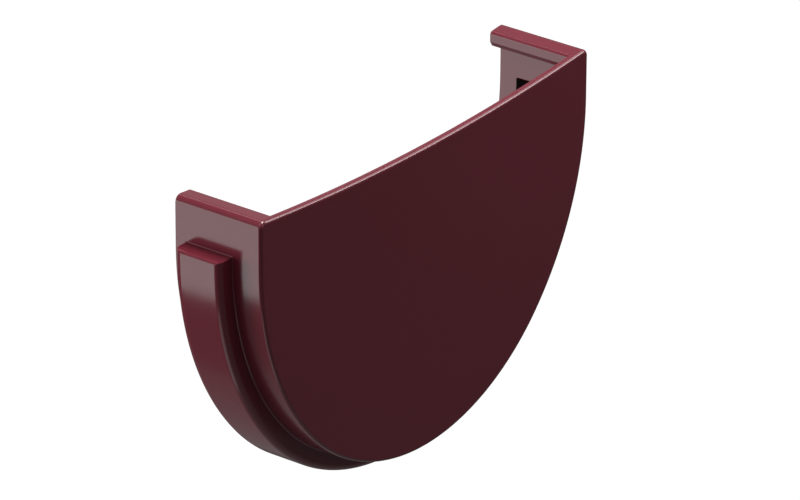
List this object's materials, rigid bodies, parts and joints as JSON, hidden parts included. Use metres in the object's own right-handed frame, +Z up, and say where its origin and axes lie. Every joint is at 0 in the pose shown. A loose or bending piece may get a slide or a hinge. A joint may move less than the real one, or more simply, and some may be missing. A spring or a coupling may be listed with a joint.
{
  "type": "gutter end cap",
  "caption": "Glossy moulded end cap for a deep half-round roof gutter, with hooked lips, a raised seal rib and a rubber seal inside.",
  "frame": {"origin": "middle of the end plate's inside face, level with the foot of the upright sides: the point where the middle of the gutter's end stops", "axes": "+X across the gutter, +Y out of the open mouth along the gutter, +Z up, as the cap hangs"},
  "size_m": [0.1402, 0.026, 0.0891],
  "materials": {
    "shell_plastic": "glossy wine red",
    "seal_rubber": "matte black"
  },
  "bodies": {
    "root": {"end_cap_shell": "shell_plastic", "rubber_seal": "seal_rubber"}
  },
  "joints": []
}
